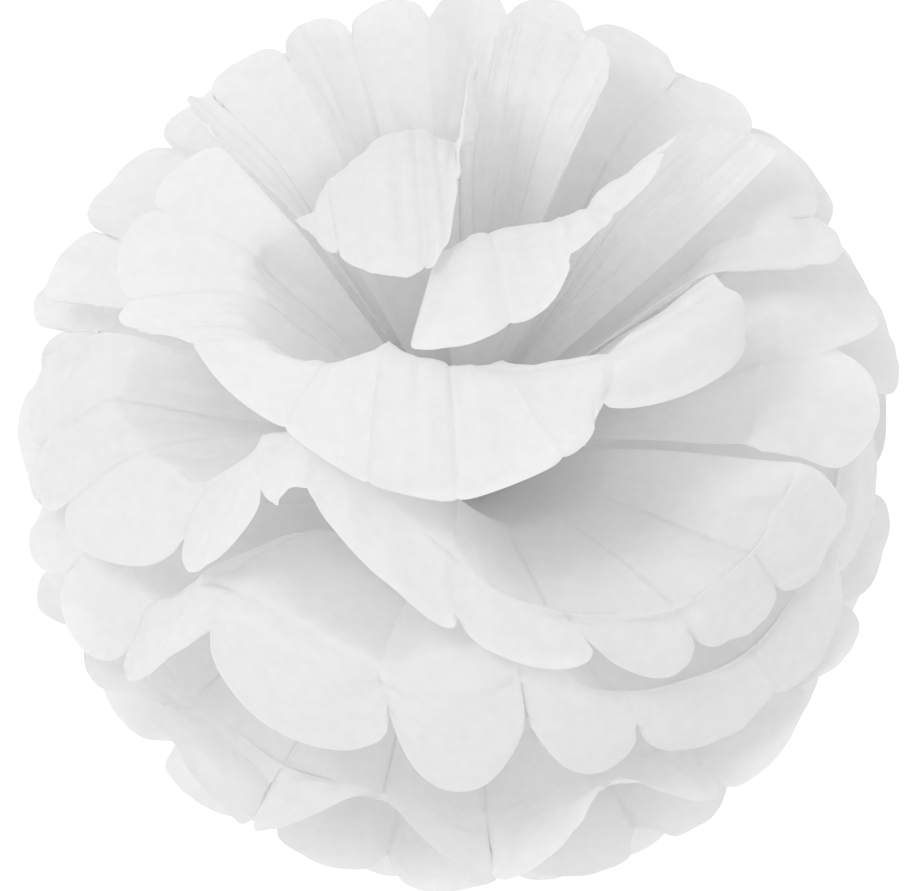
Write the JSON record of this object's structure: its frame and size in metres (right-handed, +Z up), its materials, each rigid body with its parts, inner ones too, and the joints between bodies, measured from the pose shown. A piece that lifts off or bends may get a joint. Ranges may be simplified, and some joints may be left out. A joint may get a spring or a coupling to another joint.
{
  "type": "tissue paper pom pom",
  "caption": "Round party pom pom of pleated tissue sheets, pinched at the middle by a wire tie and fluffed into a ball of curled petals.",
  "frame": {"origin": "middle of the wire tie, at the centre of the ball", "axes": "+Z is up, along the two twisted tails of the tie that the ball is held by, towards the innermost sheet; Y runs along the folded strips, and X runs along the tie across them, so the gaps between each sheet's two fans face +X and -X"},
  "size_m": [0.2463, 0.2472, 0.252],
  "materials": {
    "tissue": "soft matt white tissue, thin enough to let light through",
    "tie_wire": "bright drawn wire"
  },
  "bodies": {
    "root": {"sheet_1": "tissue", "sheet_2": "tissue", "sheet_3": "tissue", "sheet_4": "tissue", "sheet_5": "tissue", "sheet_6": "tissue", "sheet_7": "tissue", "sheet_8": "tissue", "wire_tie": "tie_wire"}
  },
  "joints": []
}
